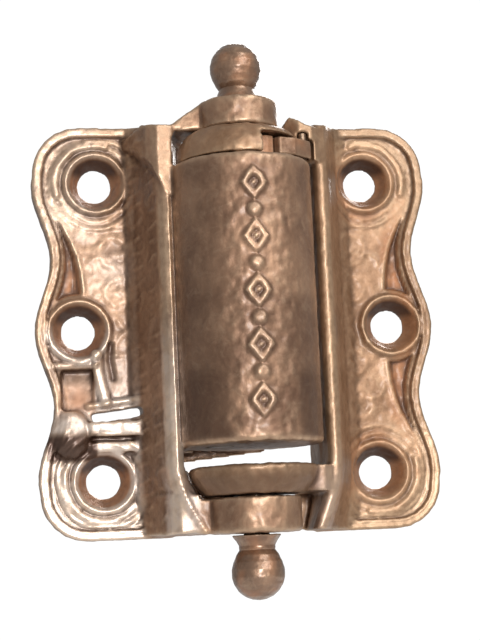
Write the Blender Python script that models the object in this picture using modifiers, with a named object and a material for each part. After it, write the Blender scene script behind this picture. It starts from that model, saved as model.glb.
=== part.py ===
"""Ball-tipped, self-closing screen-door hinge in cast iron, shown open flat.

Frame: +X towards the jamb leaf, +Z up along the hinge axis, -Y towards the front.
The hinge axis is the Z axis. Both leaves' backs lie in one plane at +Y.
"""

import math

import bmesh
import bpy
from mathutils import Vector

MM = 0.001
EPS = 0.3 * MM  # gap between neighbouring pieces

# Leaves
BACK_Y = 12.9 * MM
LEAF_THICKNESS = 3.0 * MM
FACE_Y = BACK_Y - LEAF_THICKNESS
LEAF_MID_Z = -0.8 * MM
LEAF_HALF_HEIGHT = 37.1 * MM
LEAF_MEAN_WIDTH = 34.8 * MM
LEAF_WAVE = 1.55 * MM
LEAF_WAVE_LENGTH = 26.5 * MM
LEAF_CORNER_RADIUS = 8.3 * MM
LEAF_INNER_X = 13.0 * MM
WALL_END_INSET = 0.25 * MM
EDGE_STEPS = 30
CORNER_STEPS = 6

# Screw holes
CORNER_HOLE_X = 24.9 * MM
CORNER_HOLE_Z = 26.8 * MM
MIDDLE_HOLE_X = 28.6 * MM
HOLE_RADIUS = 3.0 * MM
COUNTERSINK_RADIUS = 4.6 * MM
COUNTERSINK_DEPTH = 2.6 * MM
LIP_RADIUS = 5.3 * MM
LIP_BEAD = 0.6 * MM

# Raised ornament on the leaves
RIM_WIDTH = 1.7 * MM
RIM_HEIGHT = 0.8 * MM
ARC_RADII = (7.4 * MM,)
ARC_BEAD = 0.45 * MM

# Riser walls beside the barrel, as (x, y) sections in mm for the +X side
JAMB_WALL = (
    (13.0, 12.7), (22.6, 12.7), (22.0, 10.1), (19.4, 8.2), (17.6, 4.6), (16.2, 0.4),
    (15.5, -0.9), (14.6, -1.5), (13.7, -1.2), (13.2, -0.2), (12.6, 4.0),
)
DOOR_WALL = (
    (8.8, 12.7), (20.6, 12.7), (20.0, 10.1), (18.2, 8.0), (16.6, 4.2), (15.0, -0.4),
    (14.2, -1.6), (13.3, -1.9), (12.5, -1.2), (10.6, 1.0), (10.6, 8.6), (8.8, 10.4),
)

# Lower ends of the riser walls, which lean in towards the bottom collar
FOOT_TOP = -25.5 * MM
FOOT_LENGTH = 11.7 * MM
FOOT_STEPS = 6
FOOT_LEAN = {1: 3.4 * MM, -1: 4.6 * MM}
FOOT_BASE_SHARE = 0.5  # how far the wall's base moves, as a share of its ridge
WEB_Y = (12.1 * MM, 12.6 * MM)  # thin web behind the barrel and the bottom knuckle

# Spring barrel, one casting with the door leaf
BARREL_RADIUS = 12.4 * MM
BARREL_TOP = 26.6 * MM
BARREL_BOTTOM = -22.9 * MM
BARREL_FLOOR = 2.4 * MM
BARREL_BORE = 10.4 * MM
BARREL_EDGE = 0.8 * MM
GAP_LEFT_X = -12.1 * MM  # left end of the open gap below the barrel
SWING_CLEARANCE_DOOR = 11.9 * MM
SWING_CLEARANCE_JAMB = 13.2 * MM

# Knuckles on the jamb leaf
BAND_BOTTOM = 26.9 * MM
BAND_TOP = 32.5 * MM
BAND_RADIUS = 11.3 * MM
BAND_BORE = 9.0 * MM
WEB_THICKNESS = 1.5 * MM
BOWL_TOP = -26.4 * MM
BOWL_BOTTOM = -31.3 * MM
BOWL_RADIUS = 11.2 * MM
BOWL_BASE_RADIUS = 8.8 * MM

# End collars on the door leaf
TOP_COLLAR = (32.9 * MM, 38.1 * MM)
TOP_COLLAR_RADIUS = 7.1 * MM
BOTTOM_COLLAR = (-37.8 * MM, -31.7 * MM)
BOTTOM_COLLAR_RADIUS = 8.0 * MM
WALL_TOP_SLOPE = 11.4  # degrees by which the walls' top ends fall towards the front
TAIL_INNER_X = 9.6 * MM  # inner edge of the jamb plate below the barrel
TAIL_TOP = -26.6 * MM

# Plan sections (x, y) and front outlines (x, z) of the arms and webs that join knuckles to leaves, in mm
JAMB_SHOULDER_PLAN = [(7.8, -1.6), (10.4, -3.4), (12.6, -3.2), (14.4, -1.6), (16.4, 4.0),
                      (19.3, 9.0), (20.0, 12.5), (12.8, 12.5), (8.4, 6.0)]
JAMB_SHOULDER_OUTLINE = [(7.7, 26.0), (21.0, 26.0), (21.0, 33.4), (14.0, 33.4),
                         (11.8, 33.5), (9.0, 35.2), (8.2, 34.4), (7.7, 32.5)]
BOWL_FOOT_PLAN = [(6.0, -3.0), (12.0, -3.0), (14.2, -1.0), (16.2, 4.0), (19.6, 10.0), (19.6, 12.5),
                  (12.8, 12.5), (6.0, 8.0)]
DOOR_ARM_PLAN = [(0.0, -5.0), (-6.6, -1.9), (-13.2, -1.3), (-14.6, 0.2), (-17.6, 8.2), (-19.8, 12.5),
                 (-12.9, 12.5), (-7.0, 4.6), (0.0, 6.0)]
TOP_ARM_OUTLINE = [(1.0, 32.0), (1.0, 37.7), (-6.4, 37.9), (-8.0, 37.0), (-12.9, 33.6),
                   (-21.0, 33.4), (-21.0, 32.0)]
BOTTOM_ARM_OUTLINE = [(1.0, -30.8), (-21.0, -30.8), (-21.0, -37.5), (-12.5, -37.5),
                      (-7.9, -37.2), (1.0, -37.2)]
DOOR_SHOULDER_PLAN = [(-12.3, -1.8), (-14.9, -2.0), (-16.7, -0.6), (-18.3, 3.5), (-19.7, 9.0),
                      (-19.9, 12.3), (-12.9, 12.3), (-11.2, 6.0)]
DOOR_SHOULDER_OUTLINE = [(-11.0, 36.5), (-21.0, 33.2), (-18.4, 31.0), (-15.9, 26.8),
                         (-13.8, 21.5), (-11.0, 21.5)]
UPPER_WEB = [(-13.4, -18.0), (4.5, -18.0), (4.5, -23.2), (-13.4, -25.0)]
LOWER_WEB = [(-13.4, -26.3), (-1.5, -26.9), (-1.5, -36.6), (-13.4, -36.6)]

# Ornament down the front of the barrel
ORNAMENT_COUNT = 9  # lozenges with a bead between each pair
ORNAMENT_TOP = 21.0 * MM
ORNAMENT_LENGTH = 37.0 * MM
BEAD_RADII = (1.3 * MM, 0.5 * MM, 1.3 * MM)
LOZENGE_HALF = (2.3 * MM, 2.9 * MM)

# Slotted socket on the door leaf: places from the middle of the leaf's height
SADDLE_AT = (-30.6 * MM, FACE_Y + 0.1 * MM, -18.4 * MM)
SADDLE_RADII = (3.7 * MM, 2.3 * MM, 4.5 * MM)
POCKET_AT = (-29.2 * MM, FACE_Y, -10.6 * MM)
POCKET_HALF = (2.9 * MM, 3.7 * MM)
POCKET_SLOPE = 9.5  # degrees
SLOT_AT = (-22.3 * MM, 0.0, -15.1 * MM)
SLOT_HALF = (4.4 * MM, 0.85 * MM)
SLOT_TILT = 7.0  # degrees
BAR_ENDS = (-27.6, -16.8)  # mm across the leaf
HOOD = (8.2, 7.4, -18.9, -16.3)  # outer front, inner front, bottom, top in mm
SILL = (9.0, 8.3, -21.7, -19.9)

# Pintles
BALL_RADIUS = 4.6 * MM
BALL_Z = 44.6 * MM
PINTLE_RADIUS = 2.2 * MM
PINTLE_BORE = 2.5 * MM
PINTLE_NECK = 2.5 * MM
PINTLE_FOOT = 4.3 * MM
PEG_RADIUS = 0.8 * MM
PEG_BORE = 1.1 * MM

# Tension ratchet and pawl
TEETH = 12
TOOTH_OUTER = 8.3 * MM
TOOTH_ROOT = 7.2 * MM
TOOTH_PHASE = -52.0
RATCHET_Z = (27.3 * MM, 30.6 * MM)
HUB_RADIUS = 5.4 * MM
HUB_BOTTOM = 20.6 * MM
HUB_BORE = 2.9 * MM
PAWL_PIVOT = (11.0 * MM, -2.6 * MM)
PAWL_Z = (27.3 * MM, 30.5 * MM)
PAWL_PIN_RADIUS = 0.7 * MM
PAWL_PIN_BORE = 1.0 * MM
PAWL_PIN_TOP = 31.9 * MM

# Spring, arbor and anchor plug
SPRING_RADIUS = 7.6 * MM
WIRE_RADIUS = 0.95 * MM
SPRING_Z = (-14.4 * MM, 18.9 * MM)
SPRING_TURNS = 12
SPRING_TURN_STEPS = 12
TANG_TOP = 28.9 * MM
TANG_BOTTOM = -18.6 * MM
ARBOR_RADIUS = 2.5 * MM
ARBOR_Z = (-17.9 * MM, 26.3 * MM)
PLUG_RADIUS = 9.9 * MM
PLUG_Z = (-19.9 * MM, -16.4 * MM)
CROSS_PIN_Z = 23.6 * MM
RIVET_X = -5.6 * MM
RIVET_RADIUS = 1.2 * MM
RIVET_HEAD_RADIUS = 2.1 * MM

ROUND_STEPS = 32
JAMB, DOOR = 1, -1
CASTINGS = ("jamb_leaf", "door_leaf")  # many coplanar unions, which the exact solver leaves open


# ---------------------------------------------------------------- scene and helpers

def clear_scene():
    for obj in list(bpy.data.objects):
        bpy.data.objects.remove(obj, do_unlink=True)


def new_collection(name):
    collection = bpy.data.collections.new(name)
    bpy.context.scene.collection.children.link(collection)
    return collection


def make_material(name, colour, roughness, metallic):
    material = bpy.data.materials.new(name)
    material.use_nodes = True
    shader = material.node_tree.nodes["Principled BSDF"]
    shader.inputs["Base Color"].default_value = (*colour, 1.0)
    shader.inputs["Roughness"].default_value = roughness
    shader.inputs["Metallic"].default_value = metallic
    return material


def add_mesh_object(name, mesh):
    obj = bpy.data.objects.new(name, mesh)
    PARTS.objects.link(obj)
    return obj


def curve_to_mesh(curve_object):
    """Replace a curve object by the mesh it evaluates to, with its caps welded."""
    name = curve_object.name
    bpy.context.view_layer.update()
    evaluated = curve_object.evaluated_get(bpy.context.evaluated_depsgraph_get())
    mesh = bpy.data.meshes.new_from_object(evaluated)
    matrix = curve_object.matrix_world.copy()
    bpy.data.objects.remove(curve_object, do_unlink=True)
    bm = bmesh.new()
    bm.from_mesh(mesh)
    bmesh.ops.remove_doubles(bm, verts=bm.verts, dist=1e-6)
    bmesh.ops.recalc_face_normals(bm, faces=bm.faces)
    bm.to_mesh(mesh)
    bm.free()
    obj = add_mesh_object(name, mesh)
    obj.matrix_world = matrix
    return obj


def make_curve(name, points, cyclic):
    curve = bpy.data.curves.new(name, "CURVE")
    spline = curve.splines.new("POLY")
    spline.points.add(len(points) - 1)
    for spline_point, point in zip(spline.points, points):
        spline_point.co = (*point, 1.0)
    spline.use_cyclic_u = cyclic
    obj = bpy.data.objects.new(name, curve)
    PARTS.objects.link(obj)
    return obj


def flat_outline(name, points, thickness):
    """A flat outline in local XY, as thick as given and centred on its plane."""
    obj = make_curve(name, [(x, y, 0.0) for x, y in points], True)
    obj.data.dimensions = "2D"
    obj.data.fill_mode = "BOTH"
    obj.data.extrude = thickness / 2
    return obj


def plan_prism(name, points, z_low, z_high):
    """An (x, y) outline extruded along Z."""
    obj = flat_outline(name, points, z_high - z_low)
    obj.location.z = (z_low + z_high) / 2
    return curve_to_mesh(obj)


def front_prism(name, points, y_front, y_back):
    """An (x, z) outline extruded along Y."""
    obj = flat_outline(name, points, y_back - y_front)
    obj.rotation_euler.x = math.radians(90)
    obj.location.y = (y_front + y_back) / 2
    return curve_to_mesh(obj)


def rod(name, points, radius, cyclic=False):
    obj = make_curve(name, points, cyclic)
    obj.data.dimensions = "3D"
    obj.data.bevel_depth = radius
    obj.data.bevel_resolution = 2
    obj.data.use_fill_caps = not cyclic
    return curve_to_mesh(obj)


def turned(name, profile, location=(0.0, 0.0, 0.0), steps=ROUND_STEPS):
    """A profile of (radius, height) from top to bottom, turned about its local Z."""
    mesh = bpy.data.meshes.new(name)
    bm = bmesh.new()
    verts = [bm.verts.new((radius, 0.0, height)) for radius, height in profile]
    for upper, lower in zip(verts, verts[1:]):
        bm.edges.new((upper, lower))
    bm.to_mesh(mesh)
    bm.free()
    obj = add_mesh_object(name, mesh)
    obj.location = location
    screw = obj.modifiers.new("Turn", "SCREW")
    screw.steps = steps
    screw.render_steps = steps
    screw.use_merge_vertices = True
    screw.merge_threshold = 1e-6
    return obj


def plain_cylinder(name, radius, z_low, z_high, location=(0.0, 0.0), steps=ROUND_STEPS):
    profile = [(0.0, z_high), (radius, z_high), (radius, z_low), (0.0, z_low)]
    return turned(name, profile, (*location, 0.0), steps)


def rounded_cylinder(name, radius, z_low, z_high, edge):
    """A turned drum with rounded rims."""
    profile = [(0.0, z_high)]
    for i in range(4):
        angle = math.radians(90 - 30 * i)
        profile.append((radius - edge + edge * math.cos(angle), z_high - edge + edge * math.sin(angle)))
    for i in range(4):
        angle = math.radians(-30 * i)
        profile.append((radius - edge + edge * math.cos(angle), z_low + edge + edge * math.sin(angle)))
    profile.append((0.0, z_low))
    return turned(name, profile)


def block(name, low, high):
    mesh = bpy.data.meshes.new(name)
    bm = bmesh.new()
    bmesh.ops.create_cube(bm, size=1.0)
    centre = (Vector(low) + Vector(high)) / 2
    size = Vector(high) - Vector(low)
    bmesh.ops.scale(bm, vec=size, verts=bm.verts)
    bmesh.ops.translate(bm, vec=centre, verts=bm.verts)
    bm.to_mesh(mesh)
    bm.free()
    return add_mesh_object(name, mesh)


def ellipsoid(name, centre, radii, segments=12, rings=8):
    mesh = bpy.data.meshes.new(name)
    bm = bmesh.new()
    bmesh.ops.create_uvsphere(bm, u_segments=segments, v_segments=rings, radius=1.0)
    bmesh.ops.scale(bm, vec=Vector(radii), verts=bm.verts)
    bm.to_mesh(mesh)
    bm.free()
    obj = add_mesh_object(name, mesh)
    obj.location = centre
    return obj


def combine(target, tool, operation):
    """Boolean the tool into the target; the tool becomes a hidden cutter."""
    modifier = target.modifiers.new(tool.name, "BOOLEAN")
    modifier.operation = operation
    modifier.solver = "MANIFOLD" if target.name in CASTINGS else "EXACT"
    modifier.object = tool
    tool.display_type = "WIRE"
    tool.hide_render = True
    PARTS.objects.unlink(tool)
    CUTTERS.objects.link(tool)


def join(target, *tools):
    for tool in tools:
        combine(target, tool, "UNION")


def cut(target, *tools):
    for tool in tools:
        combine(target, tool, "DIFFERENCE")


def bevel(obj, width, segments=2, angle=40):
    modifier = obj.modifiers.new("Bevel", "BEVEL")
    modifier.width = width
    modifier.segments = segments
    modifier.limit_method = "ANGLE"
    modifier.angle_limit = math.radians(angle)


def finish(obj, material, body=None):
    """Give the piece its material, its parent and smooth round faces."""
    obj.data.materials.clear()
    obj.data.materials.append(material)
    obj.data.shade_smooth()
    obj.data.set_sharp_from_angle(angle=math.radians(35))
    if body is not None:
        bpy.context.view_layer.update()
        world = obj.matrix_world.copy()
        obj.parent = body
        obj.matrix_parent_inverse = body.matrix_world.inverted()
        obj.matrix_world = world


def pivot(name, location, parent=None):
    empty = bpy.data.objects.new(name, None)
    empty.empty_display_size = 5 * MM
    PARTS.objects.link(empty)
    empty.location = location
    bpy.context.view_layer.update()
    if parent is not None:
        empty.parent = parent
        empty.matrix_parent_inverse = parent.matrix_world.inverted()
    bpy.context.view_layer.update()
    return empty


def polar(radius, degrees):
    return radius * math.cos(math.radians(degrees)), radius * math.sin(math.radians(degrees))


# ---------------------------------------------------------------- leaves

def leaf_width(z):
    """Distance of the wavy outer edge from the hinge axis, z from the leaf's middle."""
    phase = 2 * math.pi * (abs(z) - LEAF_WAVE_LENGTH / 2) / LEAF_WAVE_LENGTH
    return LEAF_MEAN_WIDTH - LEAF_WAVE * math.cos(phase)


def leaf_edge(side, inset=0.0):
    """Points round the free edge of a leaf, from its inner top to its inner bottom."""
    radius = LEAF_CORNER_RADIUS - inset
    bend_z = LEAF_HALF_HEIGHT - LEAF_CORNER_RADIUS
    bend_x = leaf_width(bend_z) - LEAF_CORNER_RADIUS
    points = [(LEAF_INNER_X, LEAF_HALF_HEIGHT - inset)]
    for i in range(CORNER_STEPS):
        angle = math.pi / 2 * (1 - i / CORNER_STEPS)
        points.append((bend_x + radius * math.cos(angle), bend_z + radius * math.sin(angle)))
    for i in range(EDGE_STEPS + 1):
        z = bend_z * (1 - 2 * i / EDGE_STEPS)
        points.append((leaf_width(z) - inset, z))
    for i in range(1, CORNER_STEPS + 1):
        angle = -math.pi / 2 * i / CORNER_STEPS
        points.append((bend_x + radius * math.cos(angle), -bend_z + radius * math.sin(angle)))
    points.append((LEAF_INNER_X, -LEAF_HALF_HEIGHT + inset))
    return [(side * x, z + LEAF_MID_Z) for x, z in points]


def screw_holes(side):
    """Centres of a leaf's three screw holes."""
    return (
        (side * CORNER_HOLE_X, LEAF_MID_Z + CORNER_HOLE_Z),
        (side * MIDDLE_HOLE_X, LEAF_MID_Z),
        (side * CORNER_HOLE_X, LEAF_MID_Z - CORNER_HOLE_Z),
    )


def hole_cutter(name, x, z):
    """Countersunk hole along Y, its wide mouth at the front."""
    mouth = COUNTERSINK_RADIUS + 0.5 * MM
    profile = [
        (0.0, LEAF_THICKNESS + 1.5 * MM),
        (mouth, LEAF_THICKNESS + 1.5 * MM),
        (mouth, LEAF_THICKNESS + 0.5 * MM),
        (COUNTERSINK_RADIUS, LEAF_THICKNESS),
        (HOLE_RADIUS, LEAF_THICKNESS - COUNTERSINK_DEPTH),
        (HOLE_RADIUS, -1 * MM),
        (0.0, -1 * MM),
    ]
    cutter = turned(name, profile, (x, BACK_Y, z), 24)
    cutter.rotation_euler.x = math.radians(90)
    return cutter


def lip(name, x, z):
    """Raised ring with a rounded top round a screw hole, turned about Y."""
    profile = [(0.0, LEAF_THICKNESS), (LIP_RADIUS - LIP_BEAD, LEAF_THICKNESS)]
    for i in range(5):
        angle = math.pi * (1 - i / 4)
        height = LEAF_THICKNESS + 0.1 * MM + LIP_BEAD * math.sin(angle)
        profile.append((LIP_RADIUS + LIP_BEAD * math.cos(angle), height))
    profile += [(LIP_RADIUS + LIP_BEAD, 1 * MM), (0.0, 1 * MM)]
    ring = turned(name, profile, (x, BACK_Y, z), 24)
    ring.rotation_euler.x = math.radians(90)
    return ring


def corner_arc(name, side, z_sign, radius):
    """A raised arc between a corner hole and its corner of the leaf."""
    angles = [math.radians(-20 + 130 * i / 9) for i in range(10)]
    outline = [(radius + ARC_BEAD, a) for a in angles] + [(radius - ARC_BEAD, a) for a in reversed(angles)]
    points = []
    for r, a in outline:
        x = CORNER_HOLE_X + r * math.cos(a)
        z = CORNER_HOLE_Z + r * math.sin(a)
        points.append((side * x, LEAF_MID_Z + z_sign * z))
    return front_prism(name, points, FACE_Y - ARC_BEAD, FACE_Y + 0.5 * MM)


def in_mm(outline, side=1):
    """Points given in mm, mirrored across the axis where side is -1."""
    return [(side * across * MM, other * MM) for across, other in outline]


def leaf_plate(name, side, wall_section):
    """The flat plate with its rim, its screw-hole lips, its arcs and its riser wall."""
    plate = front_prism(name, leaf_edge(side), FACE_Y - RIM_HEIGHT, BACK_Y)
    bevel(plate, 0.6 * MM)
    field = front_prism(name + "_field", leaf_edge(side, RIM_WIDTH), FACE_Y - 5 * MM, FACE_Y)
    cut(plate, field)
    z_low = LEAF_MID_Z - LEAF_HALF_HEIGHT + WALL_END_INSET
    z_high = LEAF_MID_Z + LEAF_HALF_HEIGHT - WALL_END_INSET
    wall = plan_prism(name + "_wall", in_mm(wall_section, side), z_low, z_high)
    join(plate, lean_foot(wall, side))
    for z_sign in (1, -1):
        for radius in ARC_RADII:
            arc_name = f"{name}_arc_{z_sign}_{radius / MM:.0f}"
            join(plate, corner_arc(arc_name, side, z_sign, radius))
    for i, (x, z) in enumerate(screw_holes(side)):
        join(plate, lip(f"{name}_lip_{i}", x, z))
    return plate


def lean_foot(wall, side):
    """Bend the ridge of a riser wall in towards the hinge axis at its lower end."""
    bm = bmesh.new()
    bm.from_mesh(wall.data)
    for i in range(FOOT_STEPS):
        level = FOOT_TOP - FOOT_LENGTH * i / FOOT_STEPS - wall.location.z
        geometry = bm.verts[:] + bm.edges[:] + bm.faces[:]
        bmesh.ops.bisect_plane(bm, geom=geometry, plane_co=(0, 0, level), plane_no=(0, 0, 1), dist=1e-7)
    for vert in bm.verts:
        drop = min(max((FOOT_TOP - vert.co.z - wall.location.z) / FOOT_LENGTH, 0.0), 1.0)
        front = min(max((7.5 * MM - vert.co.y) / (6.5 * MM), 0.0), 1.0)
        share = FOOT_BASE_SHARE + (1 - FOOT_BASE_SHARE) * front
        vert.co.x -= side * FOOT_LEAN[side] * drop ** 1.8 * share
    bm.to_mesh(wall.data)
    bm.free()
    return wall


def wall_top_wedge(name, x_low, x_high):
    """Cutter that slopes the top end of a riser wall down towards the front."""
    wedge = block(name, (x_low, -40 * MM, 0.0), (x_high, 1.2 * MM, 12 * MM))
    wedge.location = (0.0, FACE_Y, LEAF_MID_Z + LEAF_HALF_HEIGHT)
    wedge.rotation_euler.x = math.radians(WALL_TOP_SLOPE)
    return wedge


def end_arm(name, plan, outline, z_low, z_high):
    """Arm that carries a knuckle or a collar: a plan section trimmed to a front outline."""
    arm = plan_prism(name, in_mm(plan), z_low, z_high)
    trim = front_prism(name + "_trim", in_mm(outline), -10 * MM, 14 * MM)
    combine(arm, trim, "INTERSECT")
    return arm


def drill_screw_holes(leaf, side):
    for i, (x, z) in enumerate(screw_holes(side)):
        cut(leaf, hole_cutter(f"{leaf.name}_hole_{i}", x, z))


# ---------------------------------------------------------------- jamb leaf

def knuckle_band():
    """Domed drum that closes the top knuckle."""
    height = BAND_TOP - BAND_BOTTOM
    profile = [(0.0, BAND_TOP)]
    for i in range(9):
        angle = math.pi / 2 * (1 - i / 8)
        radius = BAND_RADIUS - 3.4 * MM * (1 - math.cos(angle))
        profile.append((radius, BAND_BOTTOM + height * math.sin(angle)))
    profile.append((0.0, BAND_BOTTOM))
    return turned("band", profile)


def knuckle_bowl():
    """Bowl-shaped drum of the bottom knuckle."""
    height = BOWL_TOP - BOWL_BOTTOM
    profile = [(0.0, BOWL_TOP), (BOWL_RADIUS - 0.5 * MM, BOWL_TOP)]
    for i in range(8):
        t = i / 7
        radius = BOWL_BASE_RADIUS + (BOWL_RADIUS - BOWL_BASE_RADIUS) * math.cos(t * math.pi / 2)
        profile.append((radius, BOWL_TOP - 0.5 * MM - (height - 0.5 * MM) * t))
    profile.append((0.0, BOWL_BOTTOM))
    return turned("bowl", profile)


def make_jamb_leaf():
    leaf = leaf_plate("jamb_leaf", JAMB, JAMB_WALL)
    shoulder = end_arm("shoulder", JAMB_SHOULDER_PLAN, JAMB_SHOULDER_OUTLINE, BAND_BOTTOM + EPS, 39.0 * MM)
    foot = plan_prism("bowl_foot", in_mm(BOWL_FOOT_PLAN), BOWL_BOTTOM + 0.2 * MM, BOWL_TOP - 0.2 * MM)
    barrel_room = plain_cylinder(
        "barrel_room", SWING_CLEARANCE_JAMB, BOWL_TOP + EPS, BAND_BOTTOM + 0.15 * MM)
    lower_room = plain_cylinder(
        "lower_room", BOTTOM_COLLAR_RADIUS + 0.45 * MM, -42 * MM, BOWL_BOTTOM - 0.15 * MM)
    cut(leaf, barrel_room, lower_room, wall_top_wedge("jamb_top_slope", 12.2 * MM, 24 * MM))
    tail = block("tail", (TAIL_INNER_X, FACE_Y, LEAF_MID_Z - LEAF_HALF_HEIGHT + 2 * WALL_END_INSET),
                 (16 * MM, BACK_Y - 0.3 * MM, TAIL_TOP))
    join(leaf, tail, knuckle_band(), knuckle_bowl(), foot, shoulder)
    band_bore = plain_cylinder("band_bore", BAND_BORE, BAND_BOTTOM - 1 * MM, BAND_TOP - WEB_THICKNESS)
    upper_bore = plain_cylinder("upper_bore", PINTLE_BORE, BAND_TOP - 3 * MM, BAND_TOP + 1 * MM)
    lower_bore = plain_cylinder("lower_bore", PINTLE_BORE, BOWL_BOTTOM - 1 * MM, BOWL_TOP - 1.6 * MM)
    window_plan = [
        polar(4.0 * MM, -80), polar(14.0 * MM, -78), polar(16.0 * MM, -50), polar(14.0 * MM, -19),
        (12.9 * MM, -1.6 * MM), (11.9 * MM, -0.7 * MM), (9.6 * MM, -0.9 * MM), polar(5.0 * MM, -10),
    ]
    window = plan_prism("window", window_plan, BAND_BOTTOM - 1 * MM, BAND_TOP - WEB_THICKNESS - 0.1 * MM)
    pin_bore = plain_cylinder(
        "pawl_pin_bore", PAWL_PIN_BORE, BAND_BOTTOM - 1.5 * MM, PAWL_PIN_TOP + EPS, PAWL_PIVOT, 20)
    cut(leaf, band_bore, upper_bore, lower_bore, window, pin_bore)
    drill_screw_holes(leaf, JAMB)
    return leaf


# ---------------------------------------------------------------- door leaf

def cross_bar(name, front_outer, front_inner, z_low, z_high):
    """Raised bar across the leaf beside the slot, rising a little towards the riser (sizes in mm)."""
    outer, inner = BAR_ENDS
    plan = in_mm([(outer, 11.6), (outer, front_outer), (inner, front_inner), (inner, 11.6)])
    bar = plan_prism(name, plan, LEAF_MID_Z + z_low * MM, LEAF_MID_Z + z_high * MM)
    bevel(bar, 0.6 * MM)
    return bar


def back_web(name, outline):
    """Thin web of the leaf behind the barrel or the bottom knuckle."""
    return front_prism(name, in_mm(outline), *WEB_Y)


def make_collar(name, radius, z_low, z_high):
    return rounded_cylinder(name, radius, z_low, z_high, 0.7 * MM)


def bead_strip(leaf):
    """Column of beads and lozenges down the front of the barrel."""
    for i in range(ORNAMENT_COUNT):
        z = ORNAMENT_TOP - ORNAMENT_LENGTH * i / (ORNAMENT_COUNT - 1)
        if i % 2:
            shape = ellipsoid(f"bead_{i}", (0.0, -BARREL_RADIUS, z), BEAD_RADII)
        else:
            shape = lozenge(f"lozenge_{i}", z)
        join(leaf, shape)


def lozenge(name, z):
    half_width, half_height = LOZENGE_HALF
    outline = [(half_width, z), (0.0, z + half_height), (-half_width, z), (0.0, z - half_height)]
    return front_prism(name, outline, -BARREL_RADIUS - 0.35 * MM, -BARREL_RADIUS + 1.0 * MM)


def on_leaf(place):
    """Move a place given from the middle of the leaf's height to the world."""
    return (place[0], place[1], LEAF_MID_Z + place[2])


def slotted_socket(leaf):
    """Raised saddle and bars of the socket, and the cutters of its pocket and its slot."""
    saddle = ellipsoid("saddle", on_leaf(SADDLE_AT), SADDLE_RADII, 24, 14)
    join(leaf, saddle, cross_bar("hood", *HOOD), cross_bar("sill", *SILL))
    half_width, half_height = POCKET_HALF
    pocket = block("pocket", (-half_width, -3.0 * MM, -half_height), (half_width, 0.6 * MM, half_height))
    pocket.location = on_leaf(POCKET_AT)
    pocket.rotation_euler.x = -math.radians(POCKET_SLOPE)
    half_width, half_height = SLOT_HALF
    slot = block("slot", (-half_width, 4 * MM, -half_height), (half_width, 15 * MM, half_height))
    slot.location = on_leaf(SLOT_AT)
    slot.rotation_euler.y = -math.radians(SLOT_TILT)
    return pocket, slot


def make_door_leaf():
    leaf = leaf_plate("door_leaf", DOOR, DOOR_WALL)
    overlap = 0.7 * MM
    cut(leaf, wall_top_wedge("door_top_slope", -24 * MM, -8.4 * MM))
    shoulder = end_arm("door_shoulder", DOOR_SHOULDER_PLAN, DOOR_SHOULDER_OUTLINE, 20 * MM, 37 * MM)
    cut(shoulder, wall_top_wedge("door_shoulder_slope", -24 * MM, -8.4 * MM))
    join(leaf, shoulder, end_arm("top_arm", DOOR_ARM_PLAN, TOP_ARM_OUTLINE, 30 * MM, 40 * MM))
    join(
        leaf,
        end_arm("bottom_arm", DOOR_ARM_PLAN, BOTTOM_ARM_OUTLINE, -40 * MM, -30 * MM),
        make_collar("top_collar", TOP_COLLAR_RADIUS, TOP_COLLAR[0] - overlap, TOP_COLLAR[1]),
        make_collar("bottom_collar", BOTTOM_COLLAR_RADIUS, BOTTOM_COLLAR[0], BOTTOM_COLLAR[1] + overlap),
    )
    cut(
        leaf,
        plain_cylinder("band_room", SWING_CLEARANCE_DOOR, BARREL_TOP - EPS, TOP_COLLAR[0]),
        turned("bowl_room", [
            (0.0, BARREL_BOTTOM - 0.2 * MM),
            (SWING_CLEARANCE_DOOR, BARREL_BOTTOM - 0.2 * MM),
            (SWING_CLEARANCE_DOOR, BOWL_TOP - 0.6 * MM),
            (BOWL_BASE_RADIUS + 0.9 * MM, BOTTOM_COLLAR[1]),
            (0.0, BOTTOM_COLLAR[1]),
        ]),
        block("gap", (GAP_LEFT_X, -6 * MM, BOWL_TOP), (0.0, 16 * MM, BARREL_BOTTOM - 0.1 * MM)),
    )
    join(leaf, rounded_cylinder("barrel", BARREL_RADIUS, BARREL_BOTTOM, BARREL_TOP, BARREL_EDGE))
    bead_strip(leaf)
    join(leaf, back_web("upper_web", UPPER_WEB), back_web("lower_web", LOWER_WEB))
    pocket, slot = slotted_socket(leaf)
    bore = plain_cylinder("barrel_bore", BARREL_BORE, BARREL_BOTTOM + BARREL_FLOOR, BARREL_TOP + 1 * MM)
    pintle_bore = plain_cylinder("upper_collar_bore", PINTLE_BORE,
                                 TOP_COLLAR[0] - 1 * MM, TOP_COLLAR[1] + 1 * MM)
    lower_bore = plain_cylinder("lower_collar_bore", PINTLE_BORE,
                                BOTTOM_COLLAR[0] - 1 * MM, BOTTOM_COLLAR[1] + 1 * MM)
    rivet_bore = turned("rivet_bore", [
        (0.0, PLUG_Z[0]),
        (RIVET_RADIUS + EPS, PLUG_Z[0]),
        (RIVET_RADIUS + EPS, BARREL_BOTTOM + 1.3 * MM),
        (RIVET_HEAD_RADIUS + EPS, BARREL_BOTTOM + 0.3 * MM),
        (RIVET_HEAD_RADIUS + EPS, BARREL_BOTTOM - 1 * MM),
        (0.0, BARREL_BOTTOM - 1 * MM),
    ], (RIVET_X, 0.0, 0.0), 24)
    cut(leaf, pocket, slot, bore, pintle_bore, lower_bore, rivet_bore,
        peg_rod("upper_peg_bore", collar_middle(TOP_COLLAR), PEG_BORE, 9 * MM),
        peg_rod("lower_peg_bore", collar_middle(BOTTOM_COLLAR), PEG_BORE, 9 * MM))
    drill_screw_holes(leaf, DOOR)
    return leaf


def collar_middle(collar):
    return (collar[0] + collar[1]) / 2


def peg_rod(name, z, radius, y_back):
    """Rod along Y through the middle of a collar, open at the back."""
    return rod(name, [(0.0, -4.6 * MM, z), (0.0, y_back, z)], radius)


# ---------------------------------------------------------------- small pieces

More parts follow.
